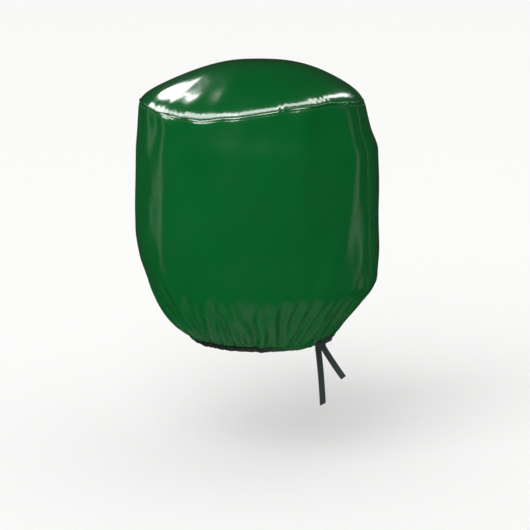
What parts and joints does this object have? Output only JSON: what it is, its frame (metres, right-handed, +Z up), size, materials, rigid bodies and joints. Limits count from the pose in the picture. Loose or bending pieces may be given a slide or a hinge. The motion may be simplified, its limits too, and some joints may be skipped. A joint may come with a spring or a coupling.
{
  "type": "grill cover",
  "caption": "Domed vinyl cover for a kettle grill: top panel piped to a tapering skirt with a gathered hem, and a flat strap that loops round a leg and ends in a knot with two tails.",
  "frame": {"origin": "middle of the flat underside of the crown, the face that rests on the lid's handle", "axes": "+Z up out of the crown, -Y towards the front of the grill, +X to the right seen from the front"},
  "size_m": [0.7193, 0.7161, 0.9983],
  "materials": {
    "vinyl": "gloss",
    "piping": "gloss",
    "seam_tape": "matte",
    "thread": "matte",
    "webbing": "matte"
  },
  "bodies": {
    "cover": {"top_panel": "vinyl", "skirt_front_panel": "vinyl", "skirt_back_panel": "vinyl", "hem_casing_front": "vinyl", "hem_casing_back": "vinyl", "shoulder_piping": "piping", "shoulder_binding": "seam_tape", "side_seam_tape_left": "seam_tape", "side_seam_tape_right": "seam_tape", "shoulder_stitching": "thread", "hem_stitching": "thread", "side_stitching_left": "thread", "side_stitching_right": "thread", "hem_drawstrap": "webbing", "leg_loop": "webbing", "tie_knot": "webbing"},
    "long_strap_tail": {"long_tail": "webbing"},
    "short_strap_tail": {"short_tail": "webbing"}
  },
  "joints": [
    {"name": "long_tail_swing", "type": "hinge", "parent": "cover", "child": "long_strap_tail", "pos_m": [0.178, -0.127, -0.823], "axis": [1, 0, 0], "range_deg": [-105, 55]},
    {"name": "short_tail_swing", "type": "hinge", "parent": "cover", "child": "short_strap_tail", "pos_m": [0.1925, -0.127, -0.823], "axis": [1, 0, 0], "range_deg": [-105, 55]}
  ]
}
